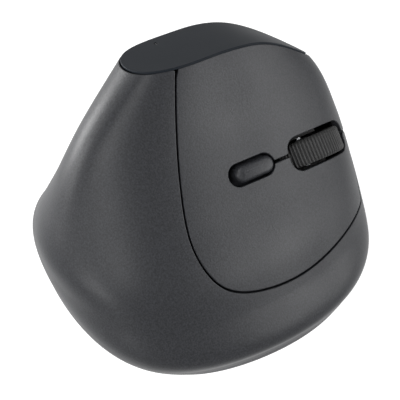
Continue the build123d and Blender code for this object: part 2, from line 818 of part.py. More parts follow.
# Base plate with the battery bay, the receiver bay and the board posts
bay_x = cell_radius + bay_play
bay_y = cell_length / 2 + bay_end
cell_z = base_top + cell_floor + cell_radius
bay_top = cell_z + cell_radius + cell_roof
door_x = bay_x + door_edge
door_y = bay_y + door_end
receiver_top = base_bottom + grip_size[2] + plug_size[2] + receiver_roof
with BuildPart() as base_plate:
    add(outer_form)
    with BuildSketch(Plane.XY.offset(base_bottom)):
        Rectangle(wide, wide)
    extrude(amount=base_thickness, mode=Mode.INTERSECT)
    with BuildSketch(Plane.XY.offset(base_top)):
        with Locations((cell_x, cell_y)):
            RectangleRounded(2 * (bay_x + bay_wall), 2 * (bay_y + bay_wall), bay_corner)
    extrude(amount=bay_top - base_top + bay_wall)
    with BuildSketch(Plane.XY.offset(base_bottom)):
        with Locations((cell_x, cell_y)):
            Rectangle(2 * bay_x, 2 * bay_y)
    extrude(amount=bay_top - base_bottom, mode=Mode.SUBTRACT)
    with BuildSketch(Plane.XY.offset(base_bottom)):
        with Locations((cell_x, cell_y)):
            RectangleRounded(2 * door_x, 2 * door_y, door_corner)
    extrude(amount=door_thickness, mode=Mode.SUBTRACT)
    with BuildSketch(Plane.XY.offset(base_top)):
        with Locations(receiver_at):
            Rectangle(*[side + 2 * (receiver_fit + receiver_wall) for side in grip_size[:2]])
    extrude(amount=receiver_top - base_top + receiver_wall)
    with BuildSketch(Plane.XY.offset(base_bottom)):
        with Locations(receiver_at):
            Rectangle(*[side + 2 * receiver_fit for side in grip_size[:2]])
    extrude(amount=grip_size[2] + receiver_fit, mode=Mode.SUBTRACT)
    with BuildSketch(Plane.XY.offset(base_bottom)):
        with Locations(receiver_at):
            Rectangle(*[side + 2 * receiver_fit for side in plug_size[:2]])
    extrude(amount=receiver_top - base_bottom, mode=Mode.SUBTRACT)
    with BuildSketch(Plane.XY.offset(base_bottom)):
        with Locations(sensor_at):
            Rectangle(*aperture)
        with Locations(power_at):
            Rectangle(*power_slot)
    extrude(amount=base_thickness, mode=Mode.SUBTRACT)
    with BuildSketch(Plane.XY.offset(base_bottom)):
        with Locations(*BASE_SCREWS):
            Circle(screw_radius + screw_play)
    extrude(amount=base_thickness, mode=Mode.SUBTRACT)
    with BuildSketch(Plane.XY.offset(base_bottom)):
        with Locations(*BASE_SCREWS):
            Circle(screw_head + screw_play)
    extrude(amount=counterbore, mode=Mode.SUBTRACT)
    with BuildSketch(Plane.XY.offset(base_top)):
        for x in (main_board_x[0] + board_post_inset, main_board_x[1] - board_post_inset):
            for y in (main_board_y[0] + board_post_inset, main_board_y[1] - board_post_inset):
                with Locations((x, y)):
                    Circle(board_post)
    extrude(amount=main_board_z - base_top - seat_gap)

# Feet
FEET = {
    "front_left": (-22.0, 33.0, 48.0),
    "front_right": (13.0, 37.6, -26.0),
    "rear_left": (-28.5, -22.0, -58.0),
    "rear_right": (12.5, -34.0, 12.0),
}


def foot(x, y, turn):
    """A thin slide pad with rounded ends under the base."""
    with BuildPart() as piece:
        with BuildSketch():
            with Locations(Location((x, y), turn)):
                SlotOverall(foot_length, foot_width)
        extrude(amount=foot_thickness)
    return piece


# Battery door: a flap that turns on its rolled front edge
door_half = door_thickness / 2
door_hinge_y = cell_y + door_y - door_hinge
door_rear_y = cell_y - door_y + door_gap
with BuildPart() as battery_door:
    with BuildSketch(Plane.XY.offset(base_bottom)):
        with Locations((cell_x, (door_rear_y + door_hinge_y) / 2)):
            Rectangle(2 * (door_x - door_gap), door_hinge_y - door_rear_y)
    extrude(amount=door_thickness)
    with Locations(Location((cell_x, door_hinge_y, base_bottom + door_half), (0, 90, 0))):
        Cylinder(door_half, 2 * (door_x - door_gap))

# Battery cell and its contacts
with BuildPart() as battery:
    with Locations(Location((cell_x, cell_y, cell_z), (90, 0, 0))):
        Cylinder(cell_radius, cell_length)
    with Locations(Location((cell_x, cell_y - cell_length / 2 - cell_nub[1] / 2, cell_z), (90, 0, 0))):
        Cylinder(cell_nub[0], cell_nub[1])

contact_y = bay_y - contact_thickness / 2
with BuildPart() as plate_contact:
    with Locations((cell_x, cell_y - contact_y, cell_z)):
        Box(contact_side, contact_thickness, contact_side)
with BuildPart() as spring_contact:
    with Locations((cell_x, cell_y + contact_y, cell_z)):
        Box(contact_side, contact_thickness, contact_side)

# Main board, sensor and lens
with BuildPart() as main_board:
    with BuildSketch(Plane.XY.offset(main_board_z)):
        with Locations((sum(main_board_x) / 2, sum(main_board_y) / 2)):
            RectangleRounded(*[side[1] - side[0] for side in (main_board_x, main_board_y)], main_corner)
        with Locations(*LEGS):
            Circle(leg_radius + leg_play, mode=Mode.SUBTRACT)
        with Locations(sensor_at):
            Rectangle(*sensor_hole, mode=Mode.SUBTRACT)
    extrude(amount=board_thickness)

with BuildPart() as sensor:
    with BuildSketch(Plane.XY.offset(main_board_z + board_thickness)):
        with Locations(sensor_at):
            Rectangle(sensor_size[0], sensor_size[1])
    extrude(amount=sensor_size[2])

with BuildPart() as sensor_lens:
    with BuildSketch(Plane.XY.offset(base_top + seat_gap)):
        with Locations(sensor_at):
            RectangleRounded(*lens_size, lens_corner)
    extrude(amount=main_board_z - base_top - 2 * seat_gap)

# Power switch and its knob
knob_y = power_at[1] - power_travel / 2
with BuildPart() as power_switch:
    with BuildSketch(Plane.XY.offset(main_board_z - power_body[2])):
        with Locations(power_at):
            Rectangle(power_body[0], power_body[1])
    extrude(amount=power_body[2])
with BuildPart() as power_knob_piece:
    with BuildSketch(Plane.XY.offset(base_bottom + knob_sink)):
        with Locations((power_at[0], knob_y)):
            Rectangle(*power_knob)
    extrude(amount=main_board_z - power_body[2] - seat_gap - base_bottom - knob_sink)

# Radio receiver
with BuildPart() as receiver:
    with BuildSketch(Plane.XY.offset(base_bottom)):
        with Locations(receiver_at):
            RectangleRounded(grip_size[0], grip_size[1], grip_corner)
    extrude(amount=grip_size[2])
    with BuildSketch(Plane.XY.offset(base_bottom + grip_size[2])):
        with Locations(receiver_at):
            Rectangle(plug_size[0], plug_size[1])
    extrude(amount=plug_size[2])


def screw(plane, at):
    """A round-head screw whose head lies under a plane and whose shank runs up through it."""
    with BuildPart() as piece:
        with BuildSketch(plane.offset(-screw_head_height)):
            with Locations(at):
                Circle(screw_head)
        extrude(amount=screw_head_height)
        with BuildSketch(plane):
            with Locations(at):
                Circle(screw_core)
        extrude(amount=screw_length)
    return piece


save(palm_shell, "palm_shell")
save(top_cap, "top_cap")
save(key_root, "key_root")
save(left_key, "left_key")
save(right_key, "right_key")
save(dpi_button, "dpi_button")
save(wheel_tyre, "wheel_tyre")
save(wheel_hub, "wheel_hub")
save(wheel_axle, "wheel_axle")
save(wheel_carrier, "wheel_carrier")
save(wheel_encoder, "wheel_encoder")
save(thumb_panel, "thumb_panel")
save(forward_button, "forward_button")
save(back_button, "back_button")
save(base_plate, "base_plate")
save(battery_door, "battery_door")
save(power_knob_piece, "power_knob")
save(power_switch, "power_switch")
save(light_pipe, "light_pipe")
save(status_light, "status_light")
save(chassis, "chassis")
save(key_board, "key_board")
save(left_switch, "left_switch")
save(right_switch, "right_switch")
save(click_switch, "click_switch")
save(dpi_switch, "dpi_switch")
save(thumb_board, "thumb_board")
save(forward_switch, "forward_switch")
save(back_switch, "back_switch")
save(main_board, "main_board")
save(sensor, "sensor")
save(sensor_lens, "sensor_lens")
save(battery, "battery")
save(spring_contact, "spring_contact")
save(plate_contact, "plate_contact")
save(receiver, "receiver")
for name, (x, y, turn) in FEET.items():
    save(foot(x, y, turn), f"foot_{name}")
for number, (x, y) in enumerate(BASE_SCREWS, start=1):
    save(screw(Plane.XY.offset(base_bottom + counterbore), (x, y)), f"base_screw_{number}")
for number, v in enumerate(root_boss_v, start=1):
    save(screw(finger.offset(chassis_bottom), (root_boss_u, v)), f"root_screw_{number}")
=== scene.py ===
import math
import bpy
import numpy as np
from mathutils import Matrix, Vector


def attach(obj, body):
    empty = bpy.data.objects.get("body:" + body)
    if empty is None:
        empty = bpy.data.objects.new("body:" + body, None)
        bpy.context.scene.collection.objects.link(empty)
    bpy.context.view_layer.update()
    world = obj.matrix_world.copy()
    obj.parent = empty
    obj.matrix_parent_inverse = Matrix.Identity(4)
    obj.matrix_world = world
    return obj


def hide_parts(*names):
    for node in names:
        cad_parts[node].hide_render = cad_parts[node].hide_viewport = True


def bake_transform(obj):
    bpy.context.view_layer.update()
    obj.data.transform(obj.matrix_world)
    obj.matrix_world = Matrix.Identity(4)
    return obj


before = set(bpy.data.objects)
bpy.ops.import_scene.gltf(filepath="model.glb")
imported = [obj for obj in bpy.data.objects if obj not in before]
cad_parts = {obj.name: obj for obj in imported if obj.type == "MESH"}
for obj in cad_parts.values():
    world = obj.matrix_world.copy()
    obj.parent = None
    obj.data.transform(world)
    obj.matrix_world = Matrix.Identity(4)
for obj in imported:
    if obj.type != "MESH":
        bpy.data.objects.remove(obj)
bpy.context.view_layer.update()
scene = bpy.context.scene
scene.view_settings.view_transform = "Standard"

# Sizes are in millimetres, and mm turns them into the frame's metres
mm = 0.001

# Camera, from behind and above on the finger side, as in the photograph. Its place comes from a fit of
# the silhouette and the seams, with the photograph's centre on its axis.
aim = Vector((-0.6034, 0.3586, -0.7123))
camera = bpy.data.objects.new("camera", bpy.data.cameras.new("camera"))
camera.location = Vector((238.8, -146.2, 314.5)) * mm
camera.rotation_euler = aim.to_track_quat("-Z", "Y").to_euler()
camera.data.lens = 128.4
camera.data.sensor_width = 36
scene.collection.objects.link(camera)
scene.camera = camera


# Table and light. A sheet of paper in a white room, lit by soft boxes in a ring round the mouse, with none
# over it: from the heel they draw the bright band down the palm side, and from the front they light the keys.
def hex_colour(code):
    """An sRGB hex colour as linear red, green, blue and 1."""
    parts = [int(code[i:i + 2], 16) / 255 for i in (1, 3, 5)]
    return [p / 12.92 if p <= 0.04045 else ((p + 0.055) / 1.055) ** 2.4 for p in parts] + [1]


def add_node(tree, kind, settings=None, **links):
    """A node with its settings, and its inputs set to a value or linked to another node's output."""
    node = tree.nodes.new(kind)
    for key, value in (settings or {}).items():
        setattr(node, key, value)
    for key, value in links.items():
        socket = node.inputs[int(key[1:])] if key[1:].isdigit() else node.inputs[key.replace("_", " ")]
        if isinstance(value, bpy.types.NodeSocket):
            tree.links.new(value, socket)
        else:
            socket.default_value = value
    return node


def new_material(name):
    """An empty node material and its output node."""
    material = bpy.data.materials.new(name)
    material.use_nodes = True
    material.node_tree.nodes.clear()
    return material, add_node(material.node_tree, "ShaderNodeOutputMaterial")


def place_object(name, mesh):
    """A new object that holds a mesh."""
    piece = bpy.data.objects.new(name, mesh)
    scene.collection.objects.link(piece)
    return piece


def white_where_seen(tree, plain, white):
    """White to the camera, in reflections and through clear plastic, and plain for all other light."""
    path = add_node(tree, "ShaderNodeLightPath").outputs
    seen = path["Is Camera Ray"]
    for ray in ("Is Glossy Ray", "Is Transmission Ray"):
        seen = add_node(tree, "ShaderNodeMath", {"operation": "MAXIMUM"}, i0=seen, i1=path[ray]).outputs[0]
    return add_node(tree, "ShaderNodeMixShader", i0=seen, i1=plain, i2=white)


white_light = [1, 1, 1, 1]
table_half = 1200
matt_paper, output = new_material("matt_white_paper")
tree = matt_paper.node_tree
paper = add_node(tree, "ShaderNodeBsdfDiffuse", Color=hex_colour("#a8a8a8"))
glow = add_node(tree, "ShaderNodeEmission", Color=white_light, Strength=0.9)
shadowed = add_node(tree, "ShaderNodeAddShader", i0=paper.outputs[0], i1=glow.outputs[0])
mix = white_where_seen(tree, paper.outputs[0], shadowed.outputs[0])

# The sheet is clear from below, so that the underside can be seen
from_below = add_node(tree, "ShaderNodeNewGeometry").outputs["Backfacing"]
clear = add_node(tree, "ShaderNodeBsdfTransparent")
one_sided = add_node(tree, "ShaderNodeMixShader", i0=from_below, i1=mix.outputs[0], i2=clear.outputs[0])
tree.links.new(one_sided.outputs[0], output.inputs[0])
mesh = bpy.data.meshes.new("table")
corners = [(x * table_half * mm, y * table_half * mm, 0) for x, y in ((-1, -1), (1, -1), (1, 1), (-1, 1))]
mesh.from_pydata(corners, [], [(0, 1, 2, 3)])
mesh.materials.append(matt_paper)
place_object("table", mesh)

world = bpy.data.worlds.new("studio")
scene.world = world
world.use_nodes = True
tree = world.node_tree
tree.nodes.clear()
room = add_node(tree, "ShaderNodeBackground", Color=hex_colour("#c9cdd4"), Strength=0.12)
white = add_node(tree, "ShaderNodeBackground", Color=white_light, Strength=1.0)
mix = white_where_seen(tree, room.outputs[0], white.outputs[0])
tree.links.new(mix.outputs[0], add_node(tree, "ShaderNodeOutputWorld").inputs[0])

# Each box's name, its turn round the mouse, its rise and width, and its watts
SOFT_BOXES = (
    ("front_box", 60, 8, 240, 1.15), ("key_strip", 30, 28, 90, 1.5), ("key_box", 45, 28, 240, 1.3),
    ("camera_box", 300, 45, 240, 1.9), ("heel_low_strip", 285, 8, 90, 1.9), ("heel_box", 240, 20, 240, 2.3),
    ("palm_box", 210, 8, 240, 3.4),
)
box_distance, box_height = 650, 240
for name, turn, rise, width, watts in SOFT_BOXES:
    turn, rise = math.radians(turn), math.radians(rise)
    place = Vector((math.cos(turn) * math.cos(rise), math.sin(turn) * math.cos(rise), math.sin(rise)))
    lamp = bpy.data.lights.new(name, "AREA")
    lamp.shape = "RECTANGLE"
    lamp.size, lamp.size_y, lamp.energy = width * mm, box_height * mm, watts
    box = bpy.data.objects.new(name, lamp)
    box.location = place * box_distance * mm
    box.rotation_euler = (-place).to_track_quat("-Z", "Y").to_euler()
    scene.collection.objects.link(box)


# Palm shell. The large moulded skin that the palm and heel lie on, from the flared skirt up to the cap.
# It is ABS from a spark-eroded tool, so it is a dull dark grey with a fine grain that glints under the lamps.
# It stands on the base plate and is screwed to it from below.

# Level sections: height, reach to the right, left, front and back, and the middle's two places
BODY_ROWS = np.array([
    (0.0, 34.7, -38.7, 47.2, -37.6, -2.9, -4.6),
    (6.0, 37.0, -38.6, 49.6, -44.6, -2.6, -5.1),
    (13.0, 40.6, -40.2, 47.5, -47.3, -2.7, -4.8),
    (22.0, 33.6, -40.4, 46.9, -48.9, -3.3, -3.9),
    (30.0, 27.5, -33.9, 45.5, -49.5, -4.4, -1.6),
    (42.0, 15.4, -29.3, 43.9, -43.9, -7.5, 2.3),
    (56.0, 2.2, -28.7, 39.3, -34.0, -9.7, 6.0),
    (74.0, -10.1, -32.1, 23.6, -11.8, -12.9, 5.8),
    (80.0, -13.3, -33.3, 17.2, -4.3, -13.9, 5.4),
])

# How far out the corners of the sections bulge
round_front_right, round_front_left, round_back_left, round_back_right = 0.725, 0.72, 0.78, 0.76

# The crest of the cap from the side: place forward and height. The cap falls away from it to the left.
CREST = np.array([
    (-60.0, 75.3), (-30.0, 74.7), (-15.0, 74.2), (0.0, 73.6),
    (12.0, 73.2), (20.0, 71.7), (31.0, 65.2), (43.0, 55.0), (60.0, 39.8),
])
crest_edge_x = -9.9
crest_fall = 0.30
wall = 2.6
edge_round = 0.25
skin_bottom = 2.75
seam = 0.35
cap_edge = 0.6
cap_gap = -0.08  # the rims reach into the cap's edge, so that nothing shows between them
search_low, search_high = 0.5, 79.5  # the heights between which a place on the skin is looked for
way_round = 8.0  # once round the skin, one for each mark of a section


def cubic(t, step, start, start_slope, end, end_slope):
    """A cubic over a step, from one value and slope to the next, at t from 0 to 1."""
    return ((2 * t**3 - 3 * t**2 + 1) * start + (t**3 - 2 * t**2 + t) * step * start_slope
            + (3 * t**2 - 2 * t**3) * end + (t**3 - t**2) * step * end_slope)


def section_sizes(heights):
    """The reaches and middles of the level sections at some heights, on cubics through the rows."""
    z, values = BODY_ROWS[:, 0], BODY_ROWS[:, 1:]
    rise = np.diff(z)[:, None]
    slope = np.diff(values, axis=0) / rise
    inner = (slope[:-1] * rise[1:] + slope[1:] * rise[:-1]) / (rise[1:] + rise[:-1])
    slopes = np.vstack([slope[:1], inner, slope[-1:]])
    k = np.clip(np.searchsorted(z, heights, side="right") - 1, 0, len(z) - 2)
    t = (heights - z[k])[:, None] / rise[k]
    return cubic(t, rise[k], values[k], slopes[k], values[k + 1], slopes[k + 1])


def curve_slopes(marks, start, end):
    """Slopes of smooth curves at their marks, one curve to a row, and the lengths between the marks.
    Where no end slopes are given, each follows from the two chords next to it."""
    step = np.linalg.norm(np.diff(marks, axis=1), axis=2)
    chord = np.diff(marks, axis=1) / step[..., None]
    if start is None:
        share = step[:, :1] / (step[:, :1] + step[:, 1:2])
        start = chord[:, 0] * (1 + share) - chord[:, 1] * share
        share = step[:, -1:] / (step[:, -1:] + step[:, -2:-1])
        end = chord[:, -1] * (1 + share) - chord[:, -2] * share
    count = marks.shape[1]
    matrix = np.zeros((len(marks), count, count))
    right = np.zeros(marks.shape)
    matrix[:, 0, 0] = matrix[:, -1, -1] = 1
    right[:, 0], right[:, -1] = start, end
    for i in range(1, count - 1):
        before, after = 1 / step[:, i - 1], 1 / step[:, i]
        matrix[:, i, i - 1], matrix[:, i, i], matrix[:, i, i + 1] = before, 2 * (before + after), after
        right[:, i] = 3 * (chord[:, i - 1] * before[:, None] + chord[:, i] * after[:, None])
    return np.linalg.solve(matrix, right), step


def curve_points(marks, slopes, step, s):
    """Points at places s, counted in marks, each on its own curve."""
    row = np.arange(len(marks))
    i = np.clip(s.astype(int), 0, marks.shape[1] - 2)
    return cubic((s - i)[:, None], step[row, i][:, None], marks[row, i], slopes[row, i],
                 marks[row, i + 1], slopes[row, i + 1])


def skin_points(places):
    """Points of the outer skin. A place is a height and a way round, which starts at the thumb side."""
    z, s = places[:, 0], places[:, 1] % way_round
    right, left, front, back, mid_x, mid_y = section_sizes(z).T

    def corner(x, y, bulge):
        """A corner of the section, drawn in towards its middle."""
        return np.stack([mid_x + bulge * (x - mid_x), mid_y + bulge * (y - mid_y)], 1)

    marks = np.stack([
        corner(left, mid_y, 1), corner(left, back, round_back_left), corner(mid_x, back, 1),
        corner(right, back, round_back_right), corner(right, mid_y, 1),
        corner(right, front, round_front_right), corner(mid_x, front, 1),
        corner(left, front, round_front_left), corner(left, mid_y, 1)], 1)
    slopes, step = curve_slopes(marks, (0, -1), (0, -1))
    return np.column_stack([curve_points(marks, slopes, step, s), z])


def skin_out(places):
    """Points of the outer skin and the directions out of it."""
    near = 0.02
    points = skin_points(places)
    up = skin_points(places + (near, 0)) - skin_points(places - (near, 0))
    along = skin_points(places + (0, near)) - skin_points(places - (0, near))
    out = np.cross(along, up)
    return points, out / np.linalg.norm(out, axis=1)[:, None]


def drawn_curve(marks, count):
    """Points along one smooth open curve through some marks."""
    marks = np.array(marks, float)[None]
    slopes, step = curve_slopes(marks, None, None)
    s = np.linspace(0, marks.shape[1] - 1, count)
    spread = np.repeat(marks, count, 0), np.repeat(slopes, count, 0), np.repeat(step, count, 0)
    return curve_points(*spread, s)


crest_line = drawn_curve(CREST, 1200)


def crest_height(points):
    """Height of the domed top over some places."""
    rise = np.interp(points[:, 1], crest_line[:, 0], crest_line[:, 1])
    return rise + crest_fall * (points[:, 0] - crest_edge_x)


def inside_by(points, outline):
    """How far some points of a plane lie inside a closed outline, negative outside."""
    ends = np.roll(outline, -1, axis=0)
    run = ends - outline
    start = points[:, None] - outline
    t = np.clip((start * run).sum(-1) / (run * run).sum(-1), 0, 1)
    gap = np.linalg.norm(start - t[..., None] * run, axis=-1).min(1)
    y = points[:, 1][:, None]
    crosses = (outline[:, 1] > y) != (ends[:, 1] > y)
    with np.errstate(divide="ignore", invalid="ignore"):
        x = outline[:, 0] + (y - outline[:, 1]) * run[:, 0] / run[:, 1]
    inside = (crosses & (points[:, 0][:, None] < x)).sum(1) % 2 == 1
    return np.where(inside, gap, -gap)


def rounded(corners, radius, steps=7):
    """A closed outline with its corners rounded."""
    corners = [Vector(c) for c in corners]
    points = []
    for i, corner in enumerate(corners):
        back = (corners[i - 1] - corner).normalized()
        on = (corners[(i + 1) % len(corners)] - corner).normalized()
        half_angle = back.angle(on) / 2
        centre = corner + (back + on).normalized() * radius / math.sin(half_angle)
        first = corner + back * radius / math.tan(half_angle) - centre
        last = corner + on * radius / math.tan(half_angle) - centre
        turn = first.angle_signed(last)
        for k in range(steps + 1):
            angle = -turn * k / steps
            points.append((centre.x + first.x * math.cos(angle) - first.y * math.sin(angle),
                           centre.y + first.x * math.sin(angle) + first.y * math.cos(angle)))
    return np.array(points)


# The finger side's own directions: forward, up its slope, and out of it
finger_tilt = math.radians(47.0)
forward = np.array([0, 1.0, 0])
up_slope = np.array([-math.sin(finger_tilt), 0, math.cos(finger_tilt)])
outward = np.array([math.cos(finger_tilt), 0, math.sin(finger_tilt)])

# The key plate's edge and front, as places forward and up the slope
KEY_EDGE = ((-4.4, 61.5), (-10.8, 42.5), (-16.2, 24.0), (-17.9, 10.0), (-13.5, -1.5),
            (-3.0, -6.2), (12.5, -6.3), (28.0, -1.8), (52.0, 10.0))
KEY_FRONT = ((60.0, 40.0), (36.0, 50.5), (14.0, 60.2))
key_outline = np.vstack([drawn_curve(KEY_EDGE, 90), KEY_FRONT])
key_depth = 25.5

# The thumb panel's outline from the side, on the skin left of thumb_x
thumb_x = -15.0
thumb_outline = rounded([(-30.0, 26.0), (28.0, 26.0), (30.0, 38.0), (21.5, 60.5), (-13.5, 61.5)], 7.0)


def on_slope(points):
    """The forward and upward places of some points on the finger side."""
    return np.column_stack([points @ forward, points @ up_slope])


def below_cap(points, gap):
    """How far some points lie under the domed top, less a gap."""
    return crest_height(points) - points[:, 2] - gap


def palm_limits(points):
    """How far a point of the skin lies inside the palm shell's edges."""
    keys = np.maximum(-inside_by(on_slope(points), key_outline), key_depth - points @ outward)
    thumb = np.maximum(-inside_by(points[:, 1:], thumb_outline), points[:, 0] - thumb_x)
    return np.minimum.reduce([keys, thumb, below_cap(points, cap_edge + cap_gap), points[:, 2] - skin_bottom])


def edge_distance(points, out, limits):
    """Distance along the surface to the nearest edge, and the way to it."""
    near, least_grade = 0.01, 0.15
    value = limits(points)
    grade = np.stack([(limits(points + near * axis) - limits(points - near * axis)) / (2 * near)
                      for axis in np.eye(3)], 1)
    grade -= out * (grade * out).sum(1)[:, None]
    size = np.maximum(np.linalg.norm(grade, axis=1), least_grade)
    return value / size, -grade / size[:, None]


def grid_quads(rows, columns, closed=False):
    """Corner numbers of a grid's cells, row by row."""
    last = columns if closed else columns - 1
    return [(r * columns + c, r * columns + (c + 1) % columns,
             (r + 1) * columns + (c + 1) % columns, (r + 1) * columns + c)
            for r in range(rows - 1) for c in range(last)]


def grid_places(first, second):
    """Places of a grid, row by row."""
    a, b = np.meshgrid(first, second, indexing="ij")
    return np.column_stack([a.ravel(), b.ravel()])


def smooth_mesh(name, points, faces):
    """A smooth-shaded object from points in millimetres."""
    mesh = bpy.data.meshes.new(name)
    mesh.from_pydata((np.asarray(points) * mm).tolist(), [], faces)
    mesh.polygons.foreach_set("use_smooth", [True] * len(mesh.polygons))
    return place_object(name, mesh)


def used_points(faces):
    """The numbers of the points that some faces use, and the faces numbered by them."""
    used = sorted({i for face in faces for i in face})
    number = {i: k for k, i in enumerate(used)}
    return used, [tuple(number[i] for i in face) for face in faces]


def cut_cells(grid, quads, distance):
    """A grid cut where a distance falls to nothing: all its places, and the faces that are left."""
    level = distance(grid)
    cuts = {}

    def cut(a, b):
        """The number of the cut between two corners."""
        return cuts.setdefault((min(a, b), max(a, b)), len(grid) + len(cuts))

    faces = []
    for quad in quads:
        inside = [level[i] > 0 for i in quad]
        if all(inside):
            faces.append(quad)
        elif any(inside):
            for tri in ((quad[0], quad[1], quad[2]), (quad[0], quad[2], quad[3])):
                ring = []
                for a, b in zip(tri, tri[1:] + tri[:1]):
                    if level[a] > 0:
                        ring.append(a)
                    if (level[a] > 0) != (level[b] > 0):
                        ring.append(cut(a, b))
                if len(ring) > 2:
                    faces.append(tuple(ring))

    # Each cut slides along its grid line to the edge. One that doesn't reach it goes to the end inside.
    slides, least_share, near_enough = 6, 0.05, 0.1
    ends = np.array(list(cuts))
    low, high = grid[ends[:, 0]], grid[ends[:, 1]]
    level_low, level_high = level[ends[:, 0]], level[ends[:, 1]]
    for slide in range(slides):
        share = np.clip(level_low / (level_low - level_high), least_share, 1 - least_share)
        middle = low + (high - low) * share[:, None]
        value = distance(middle)
        same = (value > 0) == (level_low > 0)
        low[same], level_low[same] = middle[same], value[same]
        high[~same], level_high[~same] = middle[~same], value[~same]
    off = np.abs(value) > near_enough
    middle[off] = np.where(level_low[off, None] > 0, low[off], high[off])
    return np.vstack([grid, middle]), faces


def moulded_panel(name, grid, quads, surface, limits, thickness):
    """A moulded panel: a grid of a surface cut at its limits, its edges rolled over, with an inside face."""
    def distance(places):
        """How far some places lie inside where the edges start to roll over, up to 1."""
        points, out = surface(places)
        return np.clip(edge_distance(points, out, limits)[0] - edge_round, -1, 1)

    places, faces = cut_cells(grid, quads, distance)
    used, faces = used_points(faces)
    points, out = surface(places[used])

    # The rim is the edges that belong to one face alone. It rolls over and runs down to the inside.
    edges = dict.fromkeys((a, b) for face in faces for a, b in zip(face, face[1:] + face[:1]))
    rim = [(a, b) for a, b in edges if (b, a) not in edges]
    rim_points = sorted({i for edge in rim for i in edge})
    way = edge_distance(points[rim_points], out[rim_points], limits)[1]
    ring_out = out[rim_points]
    verts, normals = [points], [out]
    ring_of = {i: i for i in rim_points}
    total = len(points)
    all_faces = list(faces)
    edge_steps = 4
    for k in range(1, edge_steps + 2):
        angle = math.pi / 2 * min(k, edge_steps) / edge_steps
        ring = points[rim_points] + edge_round * (way * math.sin(angle) - ring_out * (1 - math.cos(angle)))
        turned = ring_out * math.cos(angle) + way * math.sin(angle)
        if k > edge_steps:
            ring = ring - ring_out * (thickness - edge_round)
            turned = way
        verts.append(ring)
        normals.append(turned)
        next_of = {i: total + j for j, i in enumerate(rim_points)}
        all_faces += [(ring_of[b], ring_of[a], next_of[a], next_of[b]) for a, b in rim]
        ring_of = next_of
        total += len(rim_points)

    # The inside face is parallel to the outside
    inner = {i: ring_of.get(i, total + i) for i in range(len(points))}
    verts.append(points - out * thickness)
    normals.append(-out)
    all_faces += [tuple(inner[i] for i in reversed(face)) for face in faces]
    used, all_faces = used_points(all_faces)
    panel = smooth_mesh(name, np.vstack(verts)[used], all_faces)
    normals = np.vstack(normals)[used]
    lengths = np.maximum(np.linalg.norm(normals, axis=1)[:, None], 1e-9)
    panel.data.normals_split_custom_set_from_vertices((normals / lengths).tolist())
    return panel


def grained(name, colour, roughness, grain_mm, grain_depth, glint, **shader_settings):
    """A material of one colour with a fine grain of bumps and a slight drift of its sheen."""
    sheen_drift, drift_scale = 0.03, 45.0
    solid = {"noise_dimensions": "3D"}
    material, output = new_material(name)
    tree = material.node_tree
    place = add_node(tree, "ShaderNodeTexCoord").outputs["Object"]
    grain = add_node(tree, "ShaderNodeTexNoise", solid, Vector=place, Scale=1000 / grain_mm, Detail=2.0,
                     Roughness=0.6)
    drift = add_node(tree, "ShaderNodeTexNoise", solid, Vector=place, Scale=drift_scale, Detail=2.0)
    tint = add_node(tree, "ShaderNodeMapRange", Value=grain.outputs["Fac"], From_Min=0.35, From_Max=0.75,
                    To_Min=1 - glint, To_Max=1 + glint)
    base = add_node(tree, "ShaderNodeVectorMath", {"operation": "SCALE"}, i0=hex_colour(colour)[:3],
                    Scale=tint.outputs[0])
    rough = add_node(tree, "ShaderNodeMapRange", Value=drift.outputs["Fac"], From_Min=0.3, From_Max=0.7,
                     To_Min=roughness - sheen_drift, To_Max=roughness + sheen_drift)
    bump = add_node(tree, "ShaderNodeBump", Strength=1.0, Distance=grain_depth * mm,
                    Height=grain.outputs["Fac"])
    shader = add_node(tree, "ShaderNodeBsdfPrincipled", Base_Color=base.outputs[0],
                      Roughness=rough.outputs[0], Normal=bump.outputs[0], **shader_settings)
    tree.links.new(shader.outputs[0], output.inputs[0])
    return material


spark_textured_abs = grained("spark_textured_abs", "#27282b", 0.42, 0.45, 0.03, 0.45, IOR=1.53,
                             Specular_IOR_Level=0.18)

heights = np.arange(2.0, 75.0, 1.0)
around = np.linspace(0, way_round, 257)[:-1]
palm_skin = moulded_panel("palm_shell_skin", grid_places(heights, around),
                          grid_quads(len(heights), len(around), closed=True),
                          skin_out, palm_limits, wall)
palm_skin.data.materials.append(spark_textured_abs)
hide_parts("palm_shell")
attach(palm_skin, "housing")


# Key plate. One thin moulding over the finger side. A slot from the wheel forward and a slot back to the
# button's pocket leave two fingers, which bend at the root when the keys are pressed. Each half is one skin.
def slot(length, width, centre):
    """A closed outline with round ends, along the first axis. A hair of flat is left at each end."""
    a, b = length / 2, width / 2
    x, y = centre
    corners = [(x - a, y - b), (x + a, y - b), (x + a, y + b), (x - a, y + b)]
    return rounded(corners, radius=b * 0.999, steps=10)


key_seam = 0.5
key_front_gap = 1.0
key_wall = wall * 0.6
slit_width, slit_v = 0.8, 24.7
clear_of_edges = 9.0
pocket_u, pocket_v, pocket_length, pocket_width = 6.0, 25.1, 14.4, 6.3
window_u, window_v, window_corner = (18.1, 40.6), (19.3, 28.9), 3.6
key_hole = slot(pocket_length, pocket_width, (pocket_u, pocket_v))
wheel_hole = rounded([(window_u[0], window_v[0]), (window_u[1], window_v[0]),
                      (window_u[1], window_v[1]), (window_u[0], window_v[1])], window_corner)

# The plate reaches over the ridge in front of the cap. A place on it is forward and up the slope, seen
# straight in, as far up as pivot_v, and from there on the way in turns about a line inside the nose.
pivot_v, pivot_w, turn_step = 36.5, 26.0, math.radians(3.0)
coarse_places = grid_places(np.arange(4.0, 75.0, 1.5), np.linspace(0.8, 7.9, 120))
coarse_points, coarse_out = skin_out(coarse_places)


